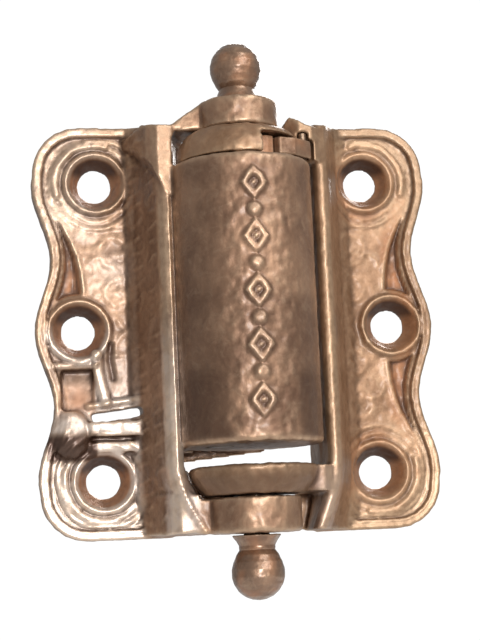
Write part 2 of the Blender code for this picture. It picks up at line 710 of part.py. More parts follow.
def make_pintle(name, end, shaft_end, collar_face):
    """Ball-tipped pin. end is +1 for the top one and -1 for the bottom one."""
    neck_low = abs(collar_face) + EPS
    profile = [(0.0, BALL_Z + BALL_RADIUS)]
    ball_steps = 9
    neck_angle = math.asin(PINTLE_NECK / BALL_RADIUS)
    for i in range(1, ball_steps + 1):
        angle = (math.pi - neck_angle) * i / ball_steps
        profile.append((BALL_RADIUS * math.sin(angle), BALL_Z + BALL_RADIUS * math.cos(angle)))
    profile += [
        (PINTLE_NECK + 0.3 * MM, neck_low + 1.7 * MM),
        (PINTLE_NECK + 0.9 * MM, neck_low + 1.0 * MM),
        (PINTLE_FOOT - 0.4 * MM, neck_low + 0.5 * MM),
        (PINTLE_FOOT, neck_low),
        (PINTLE_RADIUS, neck_low),
        (PINTLE_RADIUS, abs(shaft_end) + 0.5 * MM),
        (PINTLE_RADIUS - 0.5 * MM, abs(shaft_end)),
        (0.0, abs(shaft_end)),
    ]
    pintle = turned(name, profile, steps=24)
    if end < 0:
        pintle.rotation_euler.x = math.pi
    return pintle


def make_ratchet():
    """Toothed ring with the hub that reaches down into the barrel."""
    outline = []
    tooth = 360 / TEETH
    steps = 4
    for i in range(TEETH):
        for k in range(steps + 1):
            radius = TOOTH_ROOT + (TOOTH_OUTER - TOOTH_ROOT) * k / steps
            outline.append(polar(radius, TOOTH_PHASE + tooth * i + (tooth - 1.5) * k / steps))
    ratchet = plan_prism("tension_ratchet", outline, *RATCHET_Z)
    hub = plain_cylinder("hub", HUB_RADIUS, HUB_BOTTOM, RATCHET_Z[0] + 1 * MM)
    join(ratchet, hub)
    bore = plain_cylinder("hub_bore", HUB_BORE, HUB_BOTTOM - 1 * MM, ARBOR_Z[1] + EPS)
    tang_room = plain_cylinder("tang_room", WIRE_RADIUS + EPS, 21.8 * MM, TANG_TOP + EPS,
                               (SPRING_RADIUS - 1.4 * MM, 0.0), 20)
    pin_bore = rod("cross_pin_bore", [(-7 * MM, 0, CROSS_PIN_Z), (7 * MM, 0, CROSS_PIN_Z)], PEG_BORE)
    cut(ratchet, bore, tang_room, pin_bore)
    return ratchet


def make_pawl():
    """Dog that lies in a tooth of the ratchet. Its origin is on its pivot."""
    px, py = PAWL_PIVOT
    tip = polar(TOOTH_ROOT + 0.55 * MM, TOOTH_PHASE + 2.8)
    tip_outer = polar(TOOTH_OUTER + 0.9 * MM, TOOTH_PHASE + 2.8)
    mid_inner = polar(TOOTH_OUTER + 0.45 * MM, TOOTH_PHASE + 22)
    mid_outer = polar(TOOTH_OUTER + 2.5 * MM, TOOTH_PHASE + 18)
    head = [(px + dx, py + dy) for dx, dy in (polar(1.5 * MM, a) for a in (-70, -30, 10, 50, 90))]
    outline = [tip, tip_outer, mid_outer, *head, mid_inner]
    pawl = plan_prism("ratchet_pawl", outline, *PAWL_Z)
    bevel(pawl, 0.2 * MM, 1)
    bore = plain_cylinder("pawl_bore", PAWL_PIN_BORE,
                          PAWL_Z[0] - 1 * MM, PAWL_Z[1] + 1 * MM, PAWL_PIVOT, 20)
    cut(pawl, bore)
    return pawl


def make_spring():
    """Close coil with a tang at each end, straight down and straight up."""
    points = [(SPRING_RADIUS, 0.0, TANG_BOTTOM), (SPRING_RADIUS, 0.0, SPRING_Z[0] - 1.6 * MM)]
    total = SPRING_TURNS * SPRING_TURN_STEPS
    for i in range(1, total):
        t = i / total
        x, y = polar(SPRING_RADIUS, 360 * SPRING_TURNS * t)
        points.append((x, y, SPRING_Z[0] + (SPRING_Z[1] - SPRING_Z[0]) * t))
    tang_x = SPRING_RADIUS - 1.4 * MM
    points += [(SPRING_RADIUS - 0.5 * MM, 0.0, SPRING_Z[1] + 1.2 * MM), (tang_x, 0.0, 24.5 * MM),
               (tang_x, 0.0, TANG_TOP)]
    return rod("torsion_spring", points, WIRE_RADIUS)


def make_arbor():
    z_low, z_high = ARBOR_Z
    edge = 0.4 * MM
    profile = [(0.0, z_high), (ARBOR_RADIUS - edge, z_high), (ARBOR_RADIUS, z_high - edge),
               (ARBOR_RADIUS, z_low + edge), (ARBOR_RADIUS - edge, z_low), (0.0, z_low)]
    arbor = turned("spring_arbor", profile, steps=28)
    cut(arbor, rod("arbor_pin_bore", [(-4 * MM, 0, CROSS_PIN_Z), (4 * MM, 0, CROSS_PIN_Z)], PEG_BORE))
    return arbor


def make_anchor_plug():
    plug = rounded_cylinder("spring_anchor_plug", PLUG_RADIUS, *PLUG_Z, 0.4 * MM)
    centre = plain_cylinder("plug_centre", ARBOR_RADIUS + EPS,
                            ARBOR_Z[0] - EPS, PLUG_Z[1] + 1 * MM, steps=28)
    tang_room = plain_cylinder("plug_tang_room", WIRE_RADIUS + EPS, TANG_BOTTOM - EPS, PLUG_Z[1] + 1 * MM,
                               (SPRING_RADIUS, 0.0), 20)
    rivet_room = plain_cylinder("plug_rivet_room", RIVET_RADIUS + EPS,
                                PLUG_Z[0] - 1 * MM, PLUG_Z[0] + 2.2 * MM,
                                (RIVET_X, 0.0), 20)
    cut(plug, centre, tang_room, rivet_room)
    return plug


def make_rivet():
    head_edge = BARREL_BOTTOM + 0.3 * MM
    return turned("anchor_plug_rivet", [
        (0.0, PLUG_Z[0] + 1.9 * MM),
        (RIVET_RADIUS, PLUG_Z[0] + 1.9 * MM),
        (RIVET_RADIUS, BARREL_BOTTOM + 1.3 * MM),
        (RIVET_HEAD_RADIUS, head_edge),
        (RIVET_HEAD_RADIUS, BARREL_BOTTOM),
        (0.0, BARREL_BOTTOM),
    ], (RIVET_X, 0.0, 0.0), 24)


# ---------------------------------------------------------------- assembly

clear_scene()
PARTS = new_collection("ball_tipped_spring_hinge")
CUTTERS = new_collection("cutters")

cast_iron = make_material("oiled_cast_iron", (0.155, 0.085, 0.058), 0.42, 0.75)
worn_iron = make_material("worn_cast_iron", (0.19, 0.11, 0.075), 0.38, 0.75)
ball_iron = make_material("turned_iron", (0.17, 0.105, 0.08), 0.32, 0.85)
spring_steel = make_material("spring_steel", (0.20, 0.17, 0.15), 0.35, 0.9)
pin_steel = make_material("pin_steel", (0.26, 0.22, 0.19), 0.34, 0.9)

frame_root = pivot("jamb_body", (0.0, 0.0, 0.0))
swing = pivot("door_swing_axis", (0.0, 0.0, 0.0), frame_root)
tension = pivot("tension_axis", (0.0, 0.0, 0.0), frame_root)
pawl_axis = pivot("pawl_axis", (*PAWL_PIVOT, 0.0), frame_root)

finish(make_jamb_leaf(), cast_iron, frame_root)
finish(make_door_leaf(), worn_iron, swing)
finish(make_pintle("upper_pintle", 1, 31.3 * MM, TOP_COLLAR[1]), ball_iron, swing)
finish(make_pintle("lower_pintle", -1, BOWL_TOP - 2.0 * MM, BOTTOM_COLLAR[0]), ball_iron, swing)

for peg_name, collar in (("upper_pintle_peg", TOP_COLLAR), ("lower_pintle_peg", BOTTOM_COLLAR)):
    peg = peg_rod(peg_name, collar_middle(collar), PEG_RADIUS, 7.3 * MM)
    finish(peg, pin_steel, swing)
for pintle_name, collar in (("upper_pintle", TOP_COLLAR), ("lower_pintle", BOTTOM_COLLAR)):
    cross = peg_rod(pintle_name + "_cross_bore", collar_middle(collar), PEG_BORE, 6 * MM)
    cut(bpy.data.objects[pintle_name], cross)

finish(make_ratchet(), worn_iron, tension)
finish(make_pawl(), worn_iron, pawl_axis)
pawl_pin = plain_cylinder("pawl_pivot_pin", PAWL_PIN_RADIUS, PAWL_Z[0], PAWL_PIN_TOP, PAWL_PIVOT, 20)
finish(pawl_pin, pin_steel, frame_root)
finish(make_spring(), spring_steel, tension)
finish(make_arbor(), pin_steel, tension)
cross_pin = rod("arbor_cross_pin", [(-5.2 * MM, 0, CROSS_PIN_Z), (5.2 * MM, 0, CROSS_PIN_Z)], PEG_RADIUS)
finish(cross_pin, pin_steel, tension)
finish(make_anchor_plug(), pin_steel, swing)
finish(make_rivet(), pin_steel, swing)
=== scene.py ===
"""Looks of the ball-tipped spring screen-door hinge: castings, materials, light and camera."""

import itertools
import math

import bmesh
import bpy
import numpy as np
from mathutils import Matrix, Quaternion, Vector


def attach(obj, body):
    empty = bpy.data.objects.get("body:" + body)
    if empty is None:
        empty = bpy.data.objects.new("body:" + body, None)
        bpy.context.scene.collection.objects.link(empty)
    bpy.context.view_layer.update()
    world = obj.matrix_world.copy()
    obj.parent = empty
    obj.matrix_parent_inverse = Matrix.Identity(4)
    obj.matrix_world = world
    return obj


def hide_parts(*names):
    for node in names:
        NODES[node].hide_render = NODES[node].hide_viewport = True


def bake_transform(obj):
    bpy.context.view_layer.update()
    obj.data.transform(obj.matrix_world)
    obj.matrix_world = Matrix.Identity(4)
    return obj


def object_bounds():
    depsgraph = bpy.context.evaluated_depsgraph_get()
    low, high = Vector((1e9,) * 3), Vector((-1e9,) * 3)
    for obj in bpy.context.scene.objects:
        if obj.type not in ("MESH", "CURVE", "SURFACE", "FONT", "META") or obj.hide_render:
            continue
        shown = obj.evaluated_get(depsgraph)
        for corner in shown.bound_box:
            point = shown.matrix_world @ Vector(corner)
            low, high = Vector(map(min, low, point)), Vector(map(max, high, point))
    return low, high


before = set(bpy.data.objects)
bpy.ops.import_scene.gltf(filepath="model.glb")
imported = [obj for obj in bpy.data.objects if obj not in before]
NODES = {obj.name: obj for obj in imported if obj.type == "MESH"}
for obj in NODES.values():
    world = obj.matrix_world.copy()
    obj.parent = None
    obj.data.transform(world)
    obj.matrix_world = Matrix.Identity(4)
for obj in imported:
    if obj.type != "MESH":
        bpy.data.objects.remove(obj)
cad_low, cad_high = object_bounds()

MM = 0.001
JAMB, DOOR = 1, -1

# Sizes shared with the solid model, in mm
FACE_Y = 9.9
LEAF_MID_Z = -0.8
LEAF_HALF_HEIGHT = 37.1
LEAF_MEAN_WIDTH, LEAF_WAVE, LEAF_WAVE_LENGTH = 34.8, 1.55, 26.5
LEAF_CORNER_RADIUS = 8.3
LEAF_INNER_X = 13.0
CORNER_HOLE = (24.9, 26.8)
MIDDLE_HOLE_X = 28.6
COUNTERSINK_RADIUS = 4.6
SCREW_HOLES = (CORNER_HOLE, (MIDDLE_HOLE_X, 0.0), (CORNER_HOLE[0], -CORNER_HOLE[1]))
BARREL_RADIUS = 12.4
LEAF_STEPS, PINTLE_STEPS = 32, 24
SPRING_ENDS = (-14.4, 18.9)
SPRING_TURNS = 12
WELD = 1e-7  # m
NECK_Z = 40.5  # waist of each pintle below its ball
BARREL_ENDS = (-22.9, 26.6)
KNUCKLE_TOP, KNUCKLE_RADIUS = -26.4, 11.2

LOZENGE_DEPTH = 0.34
FINE_PASSES, BROAD_PASSES, EDGE_PASSES = 6, 40, 2  # smoothing passes
JAMB_EDGE_SCALE, DOOR_EDGE_SCALE, SMALL_EDGE_SCALE = 1.4, 1.0, 0.6  # mm of height for full wear, relative

CASTING_VOXEL = 0.31 * MM
SMALL_VOXEL = 0.13 * MM


# ---------------------------------------------------------------- meshes

def read_vertices(mesh, field):
    flat = np.empty(len(mesh.vertices) * 3, dtype=np.float64)
    mesh.vertices.foreach_get(field, flat)
    return flat.reshape(-1, 3)


def fine_copy(node, name, voxel, soften):
    """A finely meshed copy of a solid, its edges softened as a casting's are."""
    mesh = NODES[node].data.copy()
    obj = bpy.data.objects.new(name, mesh)
    bpy.context.scene.collection.objects.link(obj)
    remesh = obj.modifiers.new("Remesh", "REMESH")
    remesh.mode = "VOXEL"
    remesh.voxel_size = voxel
    smooth = obj.modifiers.new("Smooth", "SMOOTH")
    smooth.factor = 0.5
    smooth.iterations = soften
    bpy.context.view_layer.update()
    made = bpy.data.meshes.new_from_object(obj.evaluated_get(bpy.context.evaluated_depsgraph_get()))
    obj.modifiers.clear()
    obj.data = made
    bpy.data.meshes.remove(mesh)
    made.materials.clear()
    made.shade_smooth()
    return obj


def round_turned(obj, sides, reach_mm):
    """Turn the flats of a many-sided turned surface about the upright axis into a true round."""
    mesh = obj.data
    points, normals = read_vertices(mesh, "co"), read_vertices(mesh, "normal")
    radius = np.hypot(points[:, 0], points[:, 1])
    radial = np.abs(points[:, 0] * normals[:, 0] + points[:, 1] * normals[:, 1]) / np.maximum(radius, 1e-9)
    flat_angle = 2 * math.pi / sides
    turn = np.mod(np.arctan2(points[:, 1], points[:, 0]), flat_angle) - flat_angle / 2
    upright = np.maximum(1.0 - np.abs(normals[:, 2]), 0.05)
    share = rise((reach_mm - radius / MM) / 0.1) * rise(radial / upright - 0.2)
    points[:, :2] *= 1.0 + share[:, None] * (np.cos(turn) / math.cos(flat_angle / 2) - 1.0)[:, None]
    mesh.vertices.foreach_set("co", points.ravel())
    mesh.update()


def displace(obj, offsets):
    """Move every vertex along its normal by its offset in mm."""
    mesh = obj.data
    points = read_vertices(mesh, "co") + read_vertices(mesh, "normal") * offsets[:, None] * MM
    mesh.vertices.foreach_set("co", points.ravel())
    mesh.update()


def local_heights(mesh, passes):
    """How far each vertex stands out of its surroundings, in mm; hollows are negative."""
    edges = np.empty(len(mesh.edges) * 2, dtype=np.int64)
    mesh.edges.foreach_get("vertices", edges)
    ends = edges.reshape(-1, 2)
    start = np.concatenate([ends[:, 0], ends[:, 1]])
    other = np.concatenate([ends[:, 1], ends[:, 0]])
    count = np.bincount(start, minlength=len(mesh.vertices))
    points = read_vertices(mesh, "co")
    flat = points.copy()
    for _ in range(passes):
        sums = [np.bincount(start, weights=flat[other, axis], minlength=len(flat)) for axis in range(3)]
        flat = 0.5 * flat + 0.5 * np.stack(sums, axis=1) / count[:, None]
    return np.einsum("ij,ij->i", points - flat, read_vertices(mesh, "normal")) / MM


def store(obj, name, values):
    attribute = obj.data.attributes.new(name, "FLOAT", "POINT")
    attribute.data.foreach_set("value", values.astype(np.float32))


# ---------------------------------------------------------------- fields over points, in mm

def rise(x):
    """Smooth step from 0 at x = 0 to 1 at x = 1."""
    t = np.clip(x, 0.0, 1.0)
    return t * t * (3.0 - 2.0 * t)


def window(x, low, high, soft_low, soft_high):
    """1 between low and high, fading to 0 at both over the soft widths."""
    return rise((x - low) / soft_low) * rise((high - x) / soft_high)


def ridge(distance, width):
    return np.exp(-(distance / width) ** 2)


def lattice_value(spot, seed):
    """Repeatable random number between -1 and 1 for each lattice point."""
    mixed = (spot[:, 0] * 73856093) ^ (spot[:, 1] * 19349663)
    mixed = mixed ^ (spot[:, 2] * 83492791) ^ (seed * 2654435)
    mixed = (mixed ^ (mixed >> 13)) * 1274126177 & 0x7FFFFFFF
    return (mixed ^ (mixed >> 15)) % 65536 / 32767.5 - 1.0


def lattice_noise(points, cell, seed):
    """Smooth random field, about -1 to 1, from random slopes at lattice points."""
    scaled = points / cell
    base = np.floor(scaled).astype(np.int64)
    part = scaled - base
    blend = part * part * (3.0 - 2.0 * part)
    total = np.zeros(len(points))
    for corner in itertools.product((0, 1), repeat=3):
        slopes = np.stack([lattice_value(base + corner, seed * 3 + axis) for axis in range(3)], axis=1)
        weight = np.prod(np.where(corner, blend, 1.0 - blend), axis=1)
        total += weight * np.sum(slopes * (part - corner), axis=1)
    return np.clip(total * 1.7, -1.0, 1.0)


def polyline_distance(x, z, points):
    """Distance from each (x, z) to a polyline."""
    nearest = np.full(len(x), 1e9)
    for (ax, az), (bx, bz) in zip(points, points[1:]):
        dx, dz = bx - ax, bz - az
        along = np.clip(((x - ax) * dx + (z - az) * dz) / (dx * dx + dz * dz), 0.0, 1.0)
        nearest = np.minimum(nearest, np.hypot(x - ax - along * dx, z - az - along * dz))
    return nearest


def leaf_outline():
    """Free edge of a leaf, from its inner top round to its inner bottom."""
    bend_z = LEAF_HALF_HEIGHT - LEAF_CORNER_RADIUS

    def width(z):
        return LEAF_MEAN_WIDTH - LEAF_WAVE * math.cos(2 * math.pi * (abs(z) / LEAF_WAVE_LENGTH - 0.5))

    bend_x = width(bend_z) - LEAF_CORNER_RADIUS
    upper = [(LEAF_INNER_X, LEAF_HALF_HEIGHT)]
    for degrees in range(90, 0, -15):
        angle = math.radians(degrees)
        upper.append((bend_x + LEAF_CORNER_RADIUS * math.cos(angle),
                      bend_z + LEAF_CORNER_RADIUS * math.sin(angle)))
    side = [(width(bend_z * (1 - i / 15)), bend_z * (1 - i / 15)) for i in range(31)]
    return upper + side + [(x, -z) for x, z in reversed(upper)]


OUTLINE = leaf_outline()


def spiral(centre, radii, degrees, steps=22):
    """Points of a scroll between two radii and two angles."""
    made = []
    for i in range(steps + 1):
        t = i / steps
        radius = radii[0] + (radii[1] - radii[0]) * t
        angle = math.radians(degrees[0] + (degrees[1] - degrees[0]) * t)
        made.append((centre[0] + radius * math.cos(angle), centre[1] + radius * math.sin(angle)))
    return made


# Low scrolls between the screw holes and the riser, on the upper half of each leaf
SCROLLS = (
    (spiral((21.6, 14.6), (3.4, 0.9), (-80, 300)), 0.15, 0.62),
    (spiral((21.4, 6.4), (2.9, 0.9), (100, -230)), 0.14, 0.60),
    (spiral((24.6, 10.6), (3.0, 2.4), (150, 20)), 0.12, 0.55),
    ([(18.6, 20.2), (20.4, 19.0), (22.8, 18.8), (25.4, 19.4)], 0.12, 0.60),
    ([(23.4, 2.6), (21.4, 1.4), (20.2, 0.0)], 0.14, 0.60),
)

# Straps and grooves round the door leaf's slotted socket: line, height, half width
SOCKET_BARS = (
    (((25.6, -4.4), (25.4, -7.2), (24.9, -10.0), (24.2, -13.0)), 0.60, 0.85),
    (((33.0, -6.2), (26.0, -6.0)), 0.45, 0.55),
    (((27.4, -13.5), (17.6, -12.3)), 0.55, 0.45),
)
SOCKET_GROOVES = (
    (((23.0, -2.6), (23.3, -5.4), (22.8, -8.6)), 0.40, 0.45),
)


def crescent(edge, height, hole_distance):
    """Depth (0 to 1) of the tapering recess between the rim and the field, and its inner line."""
    along = (height - 5.6) / 15.0
    inside = rise((along + 0.02) / 0.06) * rise((1.0 - along) / 0.12) * rise((hole_distance - 6.4) / 0.5)
    inner = 2.9 + 4.1 * np.clip(1.0 - along, 0.0, 1.0) ** 1.25
    depth = inside * rise((edge - 2.3) / 0.5) * rise((inner - edge) / 0.8)
    line = 0.7 * inside * (ridge(edge - inner - 0.25, 0.36) - 0.5 * ridge(edge - 0.55 * inner - 1.2, 0.30))
    return depth, line


def leaf_ornament(x, z, side):
    """Height in mm over a leaf's face, and how rusty that spot is (0 to 1)."""
    edge = polyline_distance(x, z, OUTLINE)
    tall = np.abs(z)
    corner = np.hypot(x - CORNER_HOLE[0], tall - CORNER_HOLE[1])
    bearing = np.degrees(np.arctan2(tall - CORNER_HOLE[1], x - CORNER_HOLE[0]))
    middle = np.hypot(x - MIDDLE_HOLE_X, z)
    lower_door = rise((-z - 4.4) / 0.8) if side == DOOR else np.zeros(len(x))

    rubbed_top = rise((z - 15.0) / 6.0)
    height = -0.15 * ridge(edge - 1.0, 0.26) + 0.13 * ridge(edge - 2.35, 0.28)
    height += 0.12 * ridge(edge - 3.1, 0.24) * rise((tall - 12.0) / 4.0)
    height *= 1.0 - 0.75 * rubbed_top

    depth, line = crescent(edge, tall, middle)
    open_field = 1.0 - lower_door
    height += (-0.80 * depth + (0.30 if side == DOOR else 0.18) * line) * open_field
    rust = depth * open_field * rise((20.0 - tall) / 10.0)

    toward_corner = rise((np.cos(np.radians(bearing - 40.0)) + 0.30) / 0.5) * rise((edge - 1.9) / 0.5)
    swing = corner + 0.14 * np.sin(np.radians(bearing * 5.0))
    ripples = 0.5 - 0.5 * np.cos(2 * math.pi * (swing - 6.1) / 1.42)
    in_band = rise((swing - 6.1) / 0.4) * rise((11.9 - swing) / 0.6)
    ripple_height = 0.26 if side == DOOR else 0.14
    rubbed_side = rubbed_top * rise((np.cos(np.radians(bearing - 5.0)) - 0.1) / 0.5)
    height += ripple_height * ripples * in_band * toward_corner * (1.0 - 0.7 * rubbed_side)
    back_arc = rise((np.cos(np.radians(bearing + 95.0)) - 0.1) / 0.4) * rise((9.2 - corner) / 0.5)
    height += 0.16 * ripples * in_band * back_arc * (1.0 - toward_corner)

    field = rise((x - 18.4) / 1.2) * rise((middle - 6.6) / 0.8) * rise((corner - 7.8) / 1.0)
    scroll_room = field * open_field * rise((edge - 5.0) / 1.0)
    for points, tallness, width in SCROLLS:
        height += tallness * ridge(polyline_distance(x, tall, points), width) * scroll_room

    if side == DOOR:
        for line, tallness, half_width in SOCKET_BARS:
            height += tallness * rise((half_width + 0.35 - polyline_distance(x, z, line)) / 0.7)
        for line, deep, half_width in SOCKET_GROOVES:
            height -= deep * rise((half_width + 0.45 - polyline_distance(x, z, line)) / 0.8)
        rust += 0.7 * ridge(np.hypot((x - 29.4) / 1.3, z + 12.4), 2.6)
    return height, np.clip(rust, 0.0, 1.0)


def lozenge_lines(turn, z):
    """Sunk middles of the lozenges down the front of the barrel."""
    sunk = np.zeros(len(z))
    for i in range(0, 9, 2):
        middle_z = 21.0 - 37.0 * i / 8
        reach = np.abs(turn) / 2.3 + np.abs(z - middle_z) / 2.9
        sunk += rise((0.62 - reach) / 0.25) - 1.1 * rise((0.24 - reach) / 0.16)
    return sunk


class Spots:
    """Places on one casting in mm, measured alike on both leaves, and masks of its regions (0 to 1)."""

    def __init__(self, points, normals, side):
        self.points = points
        self.side = side
        self.x, self.y, self.z = points.T
        self.out = side * self.x  # away from the hinge axis
        self.level = self.z - LEAF_MID_Z  # up from the middle of the leaf
        self.radius = np.hypot(self.x, self.y)
        self.turn = np.arctan2(self.x, -self.y) * BARREL_RADIUS  # round the barrel from its front
        self.to_front = -normals[:, 1]
        self.edge = polyline_distance(self.out, self.level, OUTLINE)
        self.facing = rise((self.to_front - 0.25) / 0.5)
        self.on_face = rise((self.out - 17.4) / 1.4) * self.facing * rise((self.y - 5.6) / 1.0)
        self.on_riser = window(self.out, 13.8, 20.2, 0.8, 1.2) * window(self.y, -0.4, 9.6, 1.2, 1.0)
        self.on_barrel = self.barrel_mask()
        turned = rise((BARREL_RADIUS + 0.7 - self.radius) / 0.1)
        self.worn_band = turned * rise(-self.y / 2.0) * rise((7.5 - np.abs(self.turn - 0.6)) / 2.5)
        self.sinks = self.countersink_mask()

    def barrel_mask(self):
        skin = window(self.radius, 12.0, BARREL_RADIUS + 0.7, 0.2, 0.1)
        low, high = BARREL_ENDS
        return skin * window(self.z, low + 0.6, high - 0.6, 0.6, 0.6) * (self.side == DOOR)

    def countersink_mask(self):
        mask = np.zeros(len(self.x))
        for hole_x, hole_z in SCREW_HOLES:
            bore = np.hypot(self.out - hole_x, self.level - hole_z)
            mask += rise((COUNTERSINK_RADIUS + 0.3 - bore) / 0.6) * rise((self.y - 4.0) / 1.0)
        return mask


def riser_dabs(s):
    """Two rows of slanting dabs down a riser wall, faint on the jamb leaf."""
    wander = lattice_noise(s.points, 4.2, 21)
    waves = np.sin(2 * math.pi * (s.z / 2.7 + (s.out - 15.0) / 5.2 + 0.35 * wander))
    two_rows = np.abs(np.sin(math.pi * (s.y + 0.5) / 5.2))
    strength = (0.20 if s.side == DOOR else 0.05) * rise(0.8 + lattice_noise(s.points, 3.3, 22))
    return strength * np.maximum(0.0, waves) ** 2 * two_rows * s.on_riser


def casting_skin(s):
    """Rough skin of an old sand casting, rougher in front."""
    front = rise((s.to_front + 0.6) / 0.6)
    swirl = s.points + 1.1 * np.stack([lattice_noise(s.points, 3.1, 5), lattice_noise(s.points, 2.7, 6),
                                       lattice_noise(s.points, 2.9, 7)], axis=1)
    field = s.on_face * rise((s.edge - 2.6) / 1.0)
    skin = (0.07 * lattice_noise(swirl, 2.6, 1) + 0.035 * lattice_noise(swirl, 1.3, 8)) * field
    skin += (0.03 + 0.05 * front) * lattice_noise(s.points, 1.9, 2)
    skin += (0.015 + 0.025 * front) * lattice_noise(s.points, 0.85, 3)
    skin += 0.035 * np.minimum(lattice_noise(swirl, 0.95, 4), 0.0) * front
    skin += 0.14 * lattice_noise(s.points * (1.0, 1.0, 0.8), 1.5, 31) * s.worn_band
    return skin


def rub_and_sheen_masks(s):
    """Where hands and doors have worn the finish, and painted light: the risers' ridges, worn and painted
    lighter as their highlight, the leaves' worn corners, and the door leaf's whole field, lightened as
    painted light.
    """
    # The risers' ridges: worn, and painted lighter as their highlight.
    ridge_rub_and_highlight = window(s.out, 11.9, 16.4, 0.5, 0.8) * rise((0.7 - s.y) / 1.0)
    ridge_rub_and_highlight *= rise((s.to_front + 0.2) / 0.5)
    ridge_rub_and_highlight *= (0.45 + 0.55 * rise((23.0 - s.z) / 6.0)) * (0.65 if s.side == JAMB else 1.0)
    corners = 0.8 * rise((9.5 - s.edge) / 4.0) * rise((np.abs(s.level) - 15.0) / 6.0)
    # Painted light over the door leaf's whole field.
    field = 0.2 if s.side == DOOR else 0.0
    return np.maximum(ridge_rub_and_highlight, s.on_face * np.maximum(corners, field) * (1.0 - s.sinks))


def socket_areas(s):
    """Masks of the door leaf's pocket, of the lower half of its saddle and of the field beside the strap."""
    across = window(s.out, 25.6, 35.4, 0.8, 0.8) * rise((s.to_front + 0.3) / 0.3)
    pocket = across * window(s.level, -16.5, -6.4, 3.5, 0.6)
    saddle_foot = across * window(s.level, -23.6, -17.6, 0.9, 1.6)
    beside_strap = rise((24.2 - s.out) / 1.6) * window(s.level, -12.6, 5.0, 2.0, 5.0) * s.facing
    return pocket, saddle_foot, beside_strap


def bare_metal_and_glare(s, crest_rub_and_sheen):
    """Where the finish has gone, and a painted glare: the door leaf's lower half, worn through and painted
    pale as its glare, its lower ridges, and the feet of both ridges.
    """
    bare_and_glare = np.zeros(len(s.x))
    if s.side == DOOR:
        # The door leaf's lower half: worn through, and painted pale as the glare on it.
        lower_half = rise((-s.level - 3.0) / 8.0) * rise((s.out - 17.6) / 1.6)
        lip = 0.9 * ridge(np.hypot(s.out - MIDDLE_HOLE_X, s.level) - 5.3, 1.0) * rise((2.0 - s.level) / 3.0)
        patch = 0.35 * ridge(np.hypot(s.out - 22.6, s.level - 10.5), 3.4)
        patch = np.maximum(patch, 0.35 * rise((s.level - 14.0) / 6.0) * rise((s.out - 22.0) / 6.0))
        pocket, saddle_foot, beside_strap = socket_areas(s)
        bare_and_glare = np.maximum(np.maximum(lower_half, lip), patch) * s.facing
        bare_and_glare *= (1.0 - 0.9 * pocket) * (1.0 - 0.9 * saddle_foot) * (1.0 - 0.7 * beside_strap)
    foot = rise((-s.level - 20.0) / 12.0) * rise((s.to_front + 0.1) / 0.4)
    foot *= rise((s.radius - 8.6) / 1.2) * rise((2.6 - s.y) / 1.6) * rise((s.out - 9.0) / 2.0)
    bare_and_glare = np.maximum(bare_and_glare, (0.8 if s.side == DOOR else 0.6) * foot) * (1.0 - s.sinks)
    if s.side == DOOR:
        # The door leaf's lower ridges: worn, and painted pale as their highlight.
        bare_and_glare = np.maximum(bare_and_glare, 0.9 * crest_rub_and_sheen * rise((2.0 - s.z) / 12.0))
    return np.clip(bare_and_glare, 0.0, 1.0)


def rust_stain(s, ornament_rust):
    """Rust in the recesses and the countersinks, and a brown band inside the jamb leaf's rim."""
    rust = np.maximum(ornament_rust * s.on_face, (0.55 if s.side == JAMB else 0.40) * s.sinks)
    if s.side == DOOR:
        return np.clip(rust, 0.0, 1.0)
    band = window(s.edge, 2.4, 6.6, 0.8, 2.0) * rise((27.0 - np.abs(s.level)) / 5.0)
    corner = np.hypot(s.out - CORNER_HOLE[0], np.abs(s.level) - CORNER_HOLE[1])
    band = np.maximum(band, 0.7 * rise((9.0 - corner) / 3.0))
    return 0.6 * np.clip(np.maximum(rust, 0.65 * s.on_face * band), 0.0, 1.0)


def shade_and_grime(s):
    """Painted shade: upper walls of the countersinks, the socket, the jamb leaf's outer rim, the bottom
    knuckle's bowl and the barrel's left side; the barrel also darker towards the bottom and randomly mottled.
    """
    # Painted shade on the upper walls of the countersinks, which face down.
    hole_level = np.round(s.level / CORNER_HOLE[1]) * CORNER_HOLE[1]
    sink_shade = 1.9 * s.sinks * rise((s.level - hole_level - 0.6) / 2.0)
    if s.side == DOOR:
        pocket, saddle_foot, beside_strap = socket_areas(s)
        # Painted shade in the socket: a painted shadow beside the strap, the top of the pocket and the lower
        # half of the saddle, which faces down.
        socket = 0.5 * beside_strap + 0.9 * pocket * rise((s.level + 11.0) / 2.6) + 1.9 * saddle_foot
        # The barrel: darker towards the bottom, painted shade on its left side, and random dark patches; less
        # on its worn front band.
        lower = 1.2 * rise((-s.z - 3.0) / 14.0)
        barrel_shade_and_mottle = lower + 0.5 * rise(-s.turn / 9.0) + 0.5 * lattice_noise(s.points, 6.0, 41)
        barrel = 0.95 * np.clip(barrel_shade_and_mottle, 0.0, 1.2) * s.on_barrel * (1.0 - 0.7 * rise(s.worn_band))
        return np.maximum(np.maximum(sink_shade, socket), barrel)
    # Painted shade over the jamb leaf's outer rim, toning down its lit highlight.
    rim = 0.5 * s.on_face * rise((2.6 - s.edge) / 0.6) * rise((s.level + 22.0) / 8.0)
    # Painted shade in the bottom knuckle's bowl, which faces down.
    in_knuckle = rise((KNUCKLE_TOP + 0.6 - s.z) / 1.0) * rise((KNUCKLE_RADIUS + 0.4 - s.radius) / 1.0)
    return np.maximum(np.maximum(sink_shade, rim), in_knuckle)


